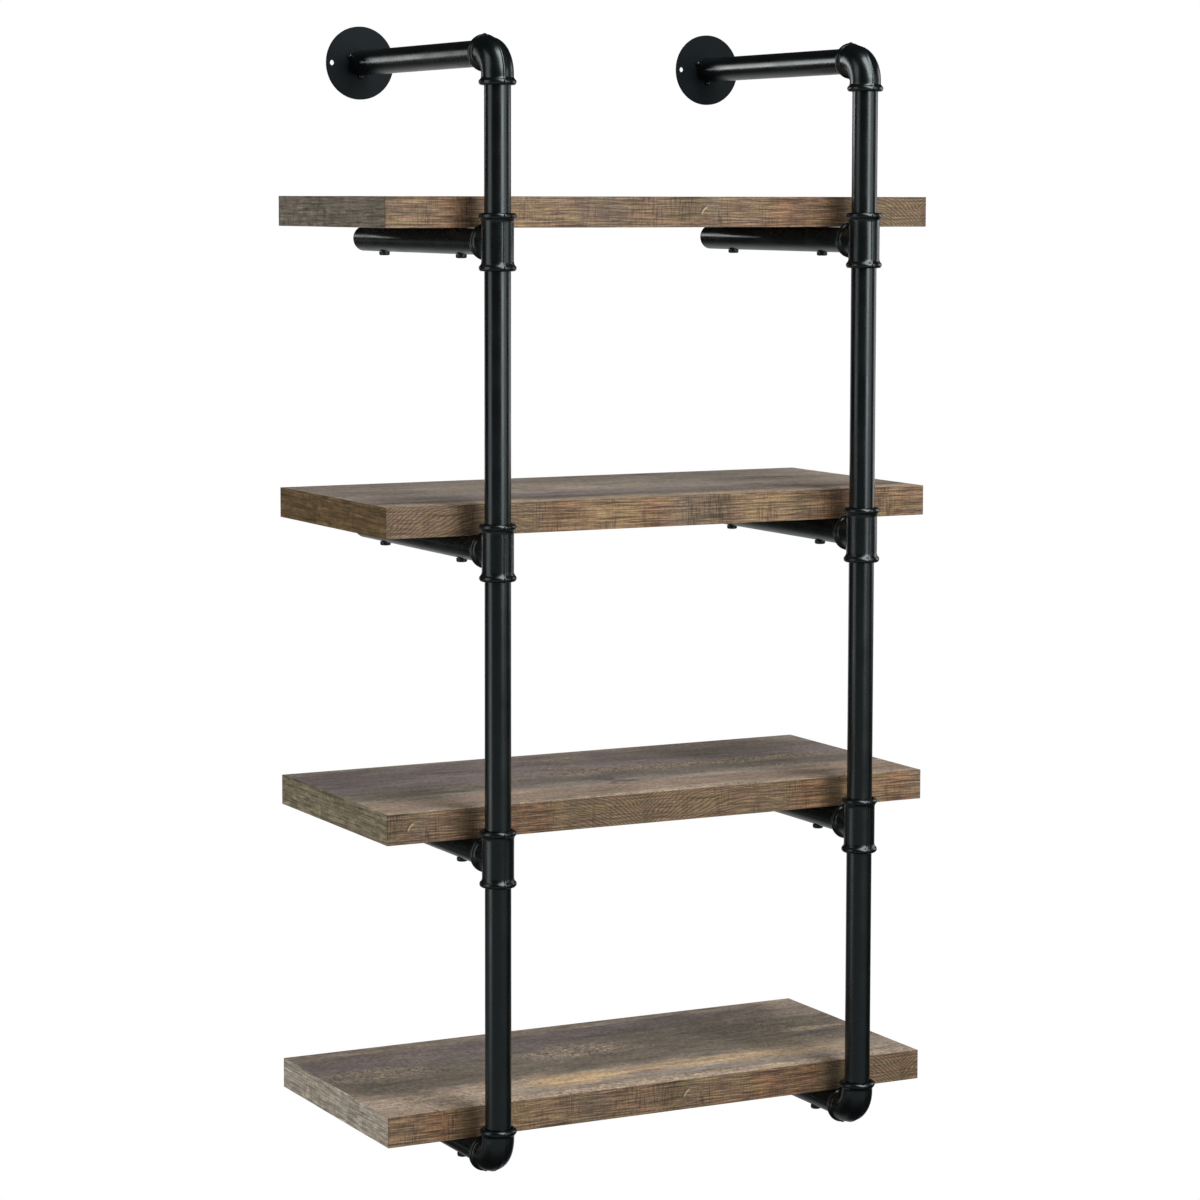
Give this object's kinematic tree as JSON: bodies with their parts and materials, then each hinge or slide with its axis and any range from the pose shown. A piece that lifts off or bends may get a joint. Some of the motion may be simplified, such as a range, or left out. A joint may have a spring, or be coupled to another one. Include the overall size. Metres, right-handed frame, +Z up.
{
  "type": "wall-mounted pipe shelf",
  "caption": "Wall shelf of thick wood-look boards on black pipe posts and arms, with cast tees and elbows, and round wall plates at the top.",
  "frame": {"origin": "on the wall, midway between the two wall plates and level with their screw holes", "axes": "+Z up, +X to the right seen from the front, +Y into the wall, so the front faces -Y"},
  "size_m": [0.6, 0.3447, 1.1157],
  "materials": {
    "board": "rough-sawn wood-look laminate, matt",
    "edge_band": "wood-look edge strip, matt",
    "tube": "satin black powder coat",
    "fitting": "black-coated casting, half gloss",
    "wall_plate": "satin black powder coat",
    "weld": "weld blobs under the black coat",
    "screw": "blackened screw",
    "insert": "zinc-plated",
    "plug": "moulded black plastic"
  },
  "bodies": {
    "root": {"wall_plate_left": "wall_plate", "weld_tacks_left": "weld", "wall_tube_left": "tube", "top_elbow_left": "fitting", "bottom_elbow_left": "fitting", "post_tube_left_1": "tube", "tee_left_1": "fitting", "arm_tube_left_1": "tube", "arm_plug_left_1": "plug", "post_tube_left_2": "tube", "tee_left_2": "fitting", "arm_tube_left_2": "tube", "arm_plug_left_2": "plug", "post_tube_left_3": "tube", "tee_left_3": "fitting", "arm_tube_left_3": "tube", "arm_plug_left_3": "plug", "post_tube_left_4": "tube", "arm_tube_left_4": "tube", "arm_plug_left_4": "plug", "wall_plate_right": "wall_plate", "weld_tacks_right": "weld", "wall_tube_right": "tube", "top_elbow_right": "fitting", "bottom_elbow_right": "fitting", "post_tube_right_1": "tube", "tee_right_1": "fitting", "arm_tube_right_1": "tube", "arm_plug_right_1": "plug", "post_tube_right_2": "tube", "tee_right_2": "fitting", "arm_tube_right_2": "tube", "arm_plug_right_2": "plug", "post_tube_right_3": "tube", "tee_right_3": "fitting", "arm_tube_right_3": "tube", "arm_plug_right_3": "plug", "post_tube_right_4": "tube", "arm_tube_right_4": "tube", "arm_plug_right_4": "plug", "board_1": "board", "edge_bands_1": "edge_band", "board_inserts_1": "insert", "arm_screws_1": "screw", "board_2": "board", "edge_bands_2": "edge_band", "board_inserts_2": "insert", "arm_screws_2": "screw", "board_3": "board", "edge_bands_3": "edge_band", "board_inserts_3": "insert", "arm_screws_3": "screw", "board_4": "board", "edge_bands_4": "edge_band", "board_inserts_4": "insert", "arm_screws_4": "screw"}
  },
  "joints": []
}
